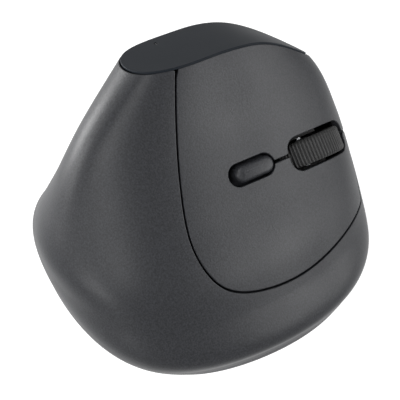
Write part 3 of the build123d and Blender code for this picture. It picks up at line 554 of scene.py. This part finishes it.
def skin_place(places):
    """Places on the skin that some places of the plate look at, and how near they came."""
    turn = np.maximum(places[:, 1:] - pivot_v, 0) * turn_step
    across = np.cos(turn) * up_slope - np.sin(turn) * outward
    way_in = np.sin(turn) * up_slope + np.cos(turn) * outward
    pivot = pivot_v * up_slope + pivot_w * outward
    wanted = np.column_stack([places[:, 0], np.where(turn[:, 0] > 0, across @ pivot, places[:, 1])])

    def seen(skin):
        """Where some places on the skin are seen, forward and across the way in."""
        points = skin_points(skin)
        return np.column_stack([points @ forward, (points * across).sum(1)])

    # It starts from the nearest coarse place that faces the way in, taken in batches to save memory
    batch, least_facing, ruled_out = 1500, 0.02, 1e6
    start = []
    for part in np.array_split(np.arange(len(places)), len(places) // batch + 1):
        gap = ((wanted[part, :1] - coarse_points @ forward) ** 2
               + (wanted[part, 1:] - across[part] @ coarse_points.T) ** 2)
        gap[way_in[part] @ coarse_out.T < least_facing] += ruled_out
        start.append(gap.argmin(1))
    skin = coarse_places[np.concatenate(start)]

    # From there it closes in on the wanted place, with no step longer than the longest in height and round
    near, least_cross, longest_step = 0.01, 0.05, (6.0, 0.5)
    for step in range(12):
        miss = wanted - seen(skin)
        by_height = (seen(skin + (near, 0)) - seen(skin - (near, 0))) / (2 * near)
        by_round = (seen(skin + (0, near)) - seen(skin - (0, near))) / (2 * near)
        cross = by_height[:, 0] * by_round[:, 1] - by_height[:, 1] * by_round[:, 0]
        cross = np.where(np.abs(cross) < least_cross, least_cross * np.sign(cross + 1e-9), cross)
        move = np.column_stack([(miss[:, 0] * by_round[:, 1] - miss[:, 1] * by_round[:, 0]) / cross,
                                (by_height[:, 0] * miss[:, 1] - by_height[:, 1] * miss[:, 0]) / cross])
        size = np.abs(move) / longest_step
        skin += move / np.maximum(size.max(1), 1)[:, None]
        skin[:, 0] = np.clip(skin[:, 0], search_low, search_high)
    return skin, np.linalg.norm(wanted - seen(skin), axis=1)


def key_surface(places):
    """Points of the key plate and the directions out of it. A place that looks past the skin stays inside."""
    most_miss = 0.05
    skin, miss = skin_place(places)
    points, out = skin_out(skin)
    lost = miss > most_miss
    points[lost] = places[lost, :1] * forward + places[lost, 1:] * up_slope
    return points, out


def key_limits(points):
    """How far a point lies inside the whole key plate's edges."""
    places = on_slope(points)
    plate = inside_by(places, key_outline) - key_seam
    nose = points @ outward - key_depth - key_front_gap
    slit = np.abs(places[:, 1] - slit_v) - slit_width / 2
    front_slit = np.where(places[:, 0] > pocket_u, slit, clear_of_edges)
    holes = np.minimum(-inside_by(places, key_hole), -inside_by(places, wheel_hole))
    return np.minimum.reduce([plate, nose, below_cap(points, cap_edge + cap_gap), front_slit, holes])


# The grid is finer round the window and the pocket, with one row along the slit, where the halves part
fine, least_gap = np.arange(18.6, 30.4, 0.3), 0.1
up_places = np.concatenate([np.arange(-8.0, 18.6, 1.0), fine[fine < slit_v - least_gap], [slit_v],
                            fine[fine > slit_v + least_gap], np.arange(31.0, 36.2, 1.0),
                            np.arange(pivot_v, 76.0, 1.0)])
along_places = np.concatenate([np.arange(-19.0, -2.0, 1.0), np.arange(-2.0, 44.0, 0.5),
                               np.arange(44.0, 54.0, 0.35)])
middle = int(np.argmin(np.abs(up_places - slit_v)))

# One skin for each half, on the grid's rows on its side of the slit
for name, rows, bend_v in (("right", up_places[:middle + 1], 11.0), ("left", up_places[middle:], 38.0)):
    places = grid_places(rows, along_places)[:, ::-1]
    quads = grid_quads(len(rows), len(along_places))
    skin = moulded_panel(f"{name}_key_skin", places, quads, key_surface, key_limits, key_wall)
    skin.data.materials.append(spark_textured_abs)
    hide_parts(f"{name}_key", "key_root")
    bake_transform(skin)


# Top cap. A thin domed panel along the ridge, of the same ABS from a polished tool, so it is smoother and
# darker than the shells. Its thin edge lies over their rims, and a pinhole lets the status light out.
light_at = (-27.1, -2.1)
pinhole_radius = 0.5

# Its outline is where the skin meets the domed top, found by halving the heights round the skin
lowest_meeting, halvings = 40.0, 24
around = np.linspace(0, way_round, 385)[:-1]
low, high = np.full(len(around), lowest_meeting), np.full(len(around), search_high)
for halving in range(halvings):
    half_way = (low + high) / 2
    above = below_cap(skin_points(np.column_stack([half_way, around])), 0) < 0
    high = np.where(above, half_way, high)
    low = np.where(above, low, half_way)
cap_outline = skin_points(np.column_stack([low, around]))[:, :2]


def cap_surface(places):
    """Points of the domed top and the directions out of it."""
    points = np.column_stack([places, np.zeros(len(places))])
    points[:, 2] = crest_height(points)
    near = 0.2
    slope = (crest_height(points + (0, near, 0)) - crest_height(points - (0, near, 0))) / (2 * near)
    out = np.column_stack([np.full(len(points), -crest_fall), -slope, np.ones(len(points))])
    return points, out / np.linalg.norm(out, axis=1)[:, None]


def cap_limits(points):
    """How far a point of the top lies inside the cap's edges."""
    pinhole = np.hypot(points[:, 0] - light_at[0], points[:, 1] - light_at[1]) - pinhole_radius
    return np.minimum(inside_by(points[:, :2], cap_outline), pinhole)


# The grid is finer round the pinhole
lowest, highest, cap_step = cap_outline.min(0) - 1, cap_outline.max(0) + 1, 0.9
near_hole = np.arange(-1.4, 1.5, 0.2)
columns, rows = (np.unique(np.round(np.concatenate([np.arange(lowest[k], highest[k], cap_step),
                                                    light_at[k] + near_hole]), 3)) for k in (0, 1))
top_skin = moulded_panel("top_cap_skin", grid_places(rows, columns)[:, ::-1],
                         grid_quads(len(rows), len(columns)), cap_surface, cap_limits, cap_edge)
smooth_dark_abs = grained("smooth_dark_abs", "#171b20", 0.5, 0.3, 0.004, 0.05, IOR=1.53,
                          Specular_IOR_Level=0.08)
top_skin.data.materials.append(smooth_dark_abs)
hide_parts("top_cap")
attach(top_skin, "housing")

clear_acrylic = grained("clear_acrylic", "#eef2f4", 0.08, 0.8, 0.001, 0.02, IOR=1.49,
                        Transmission_Weight=1.0)


def dress(material, *names):
    """Gives CAD nodes a material."""
    for name in names:
        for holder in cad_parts[name].material_slots:
            holder.material = material


light_chip = grained("light_chip_phosphor", "#e3d9a0", 0.5, 0.2, 0.004, 0.1, IOR=1.5)
dress(clear_acrylic, "light_pipe")
dress(light_chip, "status_light")


# Scroll wheel. A dark rubber tyre, moulded with fine rounded ribs over its width and a rounded shoulder on
# each side, on a black acetal hub that turns on a ground steel axle.
wheel_u, wheel_v, wheel_w = 27.2, 23.9, 30.3
wheel_radius, wheel_width, tyre_thickness = 11.5, 7.0, 2.2
rib_count, rib_depth, rib_points = 72, 0.5, 8
groove_power, groove_reach = 1.6, 1.3
shoulder = 1.1
wheel_centre = wheel_u * forward + wheel_v * up_slope + wheel_w * outward

turn = np.linspace(0, 2 * math.pi, rib_count * rib_points + 1)[:-1]
half_width = wheel_width / 2
bend = np.linspace(0, math.pi / 2, 7)
shoulder_ring = [(half_width - shoulder * (1 - math.cos(a)), shoulder * (1 - math.sin(a))) for a in bend]
profile = [(-x, drop) for x, drop in shoulder_ring]
profile += [(x, 0.0) for x in np.linspace(-half_width + shoulder, half_width - shoulder, 6)[1:-1]]
profile += shoulder_ring[::-1]
profile += [(half_width, tyre_thickness), (-half_width, tyre_thickness)]
points = []
for across, drop in profile:
    share = np.clip(groove_reach - drop / shoulder, 0, 1)
    groove = rib_depth * share * (0.5 - 0.5 * np.cos(rib_count * turn)) ** groove_power
    radius = wheel_radius - drop - groove
    spoke = np.cos(turn)[:, None] * forward + np.sin(turn)[:, None] * outward
    points.append(wheel_centre + across * up_slope + radius[:, None] * spoke)
points.append(points[0])
tyre = smooth_mesh("wheel_tyre_ribbed", np.vstack(points), grid_quads(len(points), len(turn), closed=True))
tyre_rubber = grained("moulded_rubber", "#2e2e2e", 0.5, 0.25, 0.006, 0.1, IOR=1.52,
                      Specular_IOR_Level=0.2)
tyre.data.materials.append(tyre_rubber)
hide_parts("wheel_tyre")
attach(tyre, "wheel")

black_acetal = grained("black_acetal", "#0e0e0f", 0.6, 0.5, 0.004, 0.06, IOR=1.48)
ground_steel = grained("ground_steel", "#b4b6b9", 0.28, 0.08, 0.002, 0.08, Metallic=1.0)
dress(black_acetal, "wheel_hub", "wheel_carrier")
dress(ground_steel, "wheel_axle")


# Resolution button. A long button with round ends, which stands in its pocket between the keys: bevelled
# sides, a rounded edge, and a rear end that slopes down into the pocket. Its flange stops it under the plate.
def button_cap(name, rings, surface, dip=None):
    """A button from rings of an outline and a lift off the surface, its upper rings lowered by a dip."""
    points = []
    for outline, lift in rings:
        ground, out = surface(outline)
        drop = dip(outline) if dip and lift > -wall / 2 else np.zeros(len(outline))
        points.append(ground + out * (lift - drop)[:, None])
    count = len(points[0])
    faces = grid_quads(len(rings), count, closed=True)
    faces += [tuple(range((len(rings) - 1) * count, len(rings) * count)), tuple(reversed(range(count)))]
    return smooth_mesh(name, np.vstack(points), faces)


dpi_at, dpi_length, dpi_width = (6.7, 25.1), 11.8, 4.7
dpi_flange, dpi_flange_thickness = 1.0, 0.9
dip_length, dip_depth = 2.9, 1.3

# Insets of its side and face, and their lifts off the plate
DPI_PROFILE = ((0, 0.15), (0.04, 0.3), (0.45, 0.92), (0.55, 1.03), (0.68, 1.1), (0.85, 1.13), (1.2, 1.16),
               (1.7, 1.19), (2.2, 1.2))
flange = slot(pocket_length + 2 * dpi_flange, pocket_width + 2 * dpi_flange, (pocket_u, pocket_v))
foot = slot(dpi_length, dpi_width, dpi_at)
under = -wall - seam
rings = [(flange, under - dpi_flange_thickness), (flange, under), (foot, under)]
rings += [(slot(dpi_length - 2 * inset, dpi_width - 2 * inset, dpi_at), lift) for inset, lift in DPI_PROFILE]


def rear_dip(places):
    """The slope of the button's rear end."""
    t = np.clip((dpi_at[0] - dpi_length / 2 + dip_length - places[:, 0]) / dip_length, 0, 1)
    return dip_depth * t**1.5


centre_cap = button_cap("centre_button_cap", rings, key_surface, rear_dip)
centre_cap.data.materials.append(spark_textured_abs)
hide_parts("dpi_button")
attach(centre_cap, "centre_button")


# Thumb side. A panel let into the palm shell under the cap, with two long buttons one behind the other where
# the thumb rests. The panel is of the shell's textured ABS and the buttons are of the cap's smooth ABS.
button_z, button_length, button_height, button_gap_y, button_mid_y = 53.0, 16.0, 5.6, 1.4, 3.8
button_proud, button_seam, button_edge, button_crown = 1.1, 0.4, 0.9, 0.05
flange_gap, flange_reach, flange_thickness, flange_play = 0.5, 0.9, 0.4, 0.15
thumb_wall = wall * 0.85
button_y = {"back": button_mid_y - (button_length + button_gap_y) / 2,
            "forward": button_mid_y + (button_length + button_gap_y) / 2}
button_holes = {name: slot(button_length, button_height, (y, button_z)) for name, y in button_y.items()}


def thumb_limits(points):
    """How far a point of the skin lies inside the thumb panel's edges."""
    side = points[:, 1:]
    edges = [inside_by(side, thumb_outline) - seam, thumb_x - points[:, 0],
             below_cap(points, cap_edge + cap_gap)]
    return np.minimum.reduce(edges + [-inside_by(side, hole) for hole in button_holes.values()])


def thumb_surface(places):
    """The skin at places on the thumb side, given as forward and up."""
    side_middle, to_back, to_front = 4, 32, 26
    behind_middle = side_middle - places[:, 0]
    way = behind_middle / np.where(behind_middle > 0, to_back, to_front)
    near = 0.01
    for step in range(8):
        miss = skin_points(np.column_stack([places[:, 1], way]))[:, 1] - places[:, 0]
        ahead = skin_points(np.column_stack([places[:, 1], way + near]))[:, 1]
        behind = skin_points(np.column_stack([places[:, 1], way - near]))[:, 1]
        way = way - miss * 2 * near / (ahead - behind)
    return skin_out(np.column_stack([places[:, 1], way]))


def button_rings(length, width, centre, proud, edge, crown):
    """The side, rolled edge and crowned face of a button with round ends."""
    bend = np.linspace(0, math.pi / 2, 8)
    rings = [(edge * (1 - math.cos(a)), proud - edge * (1 - math.sin(a))) for a in bend]
    last_inset = 0.47 * width
    face = np.linspace(0, 1, 5)[1:]
    rings += [(edge + (last_inset - edge) * t, proud + crown * (1 - (1 - t) ** 2)) for t in face]
    return [(slot(length - 2 * inset, width - 2 * inset, centre), lift) for inset, lift in rings]


heights = np.concatenate([np.arange(24.0, 49.5, 1.0), np.arange(49.5, 56.7, 0.4),
                          np.arange(57.0, 66.0, 1.0)])
around = np.linspace(-1.5, 1.3, 190)
thumb_skin = moulded_panel("thumb_panel_skin", grid_places(heights, around),
                           grid_quads(len(heights), len(around)), skin_out, thumb_limits, thumb_wall)
thumb_skin.data.materials.append(spark_textured_abs)
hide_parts("thumb_panel")
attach(thumb_skin, "housing")

for name, y in button_y.items():
    length, height, centre = button_length - 2 * button_seam, button_height - 2 * button_seam, (y, button_z)
    flange = slot(button_length + button_gap_y - flange_gap, button_height + 2 * flange_reach, centre)
    under = -wall - flange_play
    rings = [(flange, under - flange_thickness), (flange, under), (slot(length, height, centre), under)]
    rings += button_rings(length, height, centre, button_proud, button_edge, button_crown)
    thumb_cap = button_cap(f"{name}_button_cap", [(outline[::-1], lift) for outline, lift in rings],
                           thumb_surface)
    thumb_cap.data.materials.append(smooth_dark_abs)
    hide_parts(f"{name}_button")
    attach(thumb_cap, f"{name}_button")


# Underside. The base plate and its battery door are of plainer textured ABS, with four slide feet of PTFE,
# zinc-plated screws in counterbores, the power knob in its slot and the sensor's clear lens in its opening.
fine_textured_abs = grained("fine_textured_abs", "#2c2d30", 0.6, 0.6, 0.025, 0.15, IOR=1.53)
slide_ptfe = grained("skived_ptfe", "#c8c9c6", 0.5, 0.9, 0.006, 0.05, IOR=1.35, Subsurface_Weight=0.1,
                     Subsurface_Scale=0.001)
zinc_steel = grained("zinc_plated_steel", "#bfc1c2", 0.32, 0.15, 0.003, 0.08, Metallic=1.0)
light_grey_abs = grained("light_grey_abs", "#8d9094", 0.45, 0.4, 0.006, 0.06, IOR=1.53)
clear_lens = grained("moulded_polycarbonate", "#eef1f3", 0.06, 0.9, 0.001, 0.02, IOR=1.58,
                     Transmission_Weight=1.0)
dress(fine_textured_abs, "base_plate", "battery_door")
dress(slide_ptfe, "foot_front_left", "foot_front_right", "foot_rear_left", "foot_rear_right")
dress(zinc_steel, "base_screw_1", "base_screw_2", "base_screw_3", "base_screw_4", "root_screw_1",
      "root_screw_2")
dress(light_grey_abs, "power_knob")
dress(clear_lens, "sensor_lens")


# Inside. A black ABS chassis carries the tilted key board, and the main board lies on the base: green solder
# mask over glass cloth, black switches, the sensor in its epoxy package, and nickel-plated cell contacts.
black_abs = grained("plain_black_abs", "#1d1e20", 0.5, 0.7, 0.01, 0.08, IOR=1.53)
switch_nylon = grained("switch_nylon", "#18191a", 0.45, 0.3, 0.006, 0.08, IOR=1.53)
epoxy_package = grained("moulded_epoxy", "#131314", 0.55, 0.2, 0.006, 0.12, IOR=1.55)
solder_mask = grained("solder_mask_on_glass_cloth", "#1d4a30", 0.3, 0.35, 0.01, 0.2, IOR=1.5,
                      Coat_Weight=0.3)
nickel_plate = grained("nickel_plate", "#b9b5aa", 0.25, 0.1, 0.002, 0.06, Metallic=1.0)
dress(black_abs, "chassis")
dress(solder_mask, "key_board", "thumb_board", "main_board")
dress(switch_nylon, "left_switch", "right_switch", "click_switch", "dpi_switch", "forward_switch",
      "back_switch", "power_switch", "wheel_encoder")
dress(epoxy_package, "sensor")
dress(nickel_plate, "spring_contact", "plate_contact")


# Power. One round cell with a plain printed film and bare steel ends, and the radio receiver stored in its
# bay, a black grip on a nickel-plated plug.
def two_finishes(name, axis, edges, inner, outer):
    """A material with one finish between two places along an axis and another outside them.
    A finish is its colour, its roughness and whether it is metal."""
    material, output = new_material(name)
    tree = material.node_tree
    place = add_node(tree, "ShaderNodeTexCoord").outputs["Object"]
    along = add_node(tree, "ShaderNodeVectorMath", {"operation": "DOT_PRODUCT"}, i0=place,
                     i1=axis).outputs["Value"]
    past = add_node(tree, "ShaderNodeMath", {"operation": "GREATER_THAN"}, i0=along, i1=edges[0] * mm)
    short = add_node(tree, "ShaderNodeMath", {"operation": "LESS_THAN"}, i0=along, i1=edges[1] * mm)
    within = add_node(tree, "ShaderNodeMath", {"operation": "MULTIPLY"}, i0=past.outputs[0],
                      i1=short.outputs[0]).outputs[0]
    grain = add_node(tree, "ShaderNodeTexNoise", {"noise_dimensions": "3D"}, Vector=place, Scale=2500.0,
                     Detail=2.0)
    bump = add_node(tree, "ShaderNodeBump", Strength=1.0, Distance=0.004 * mm, Height=grain.outputs["Fac"])
    colour = add_node(tree, "ShaderNodeMixRGB", Fac=within, Color1=hex_colour(outer[0]),
                      Color2=hex_colour(inner[0]))
    rough, metal = (add_node(tree, "ShaderNodeMapRange", Value=within, To_Min=outer[k], To_Max=inner[k])
                    for k in (1, 2))
    shader = add_node(tree, "ShaderNodeBsdfPrincipled", Base_Color=colour.outputs[0],
                      Roughness=rough.outputs[0], Metallic=metal.outputs[0], Normal=bump.outputs[0])
    tree.links.new(shader.outputs[0], output.inputs[0])
    return material


cell_film = two_finishes("cell_film_and_steel", (0, 1, 0), (-24.6, 23.4), ("#3f4c58", 0.35, 0.0),
                         ("#c4c5c6", 0.25, 1.0))
grip_and_plug = two_finishes("grip_and_plated_plug", (0, 0, 1), (-30.0, 6.2), ("#1c1d1f", 0.45, 0.0),
                             ("#c9c6bd", 0.22, 1.0))
dress(cell_film, "battery")
dress(grip_and_plug, "receiver")
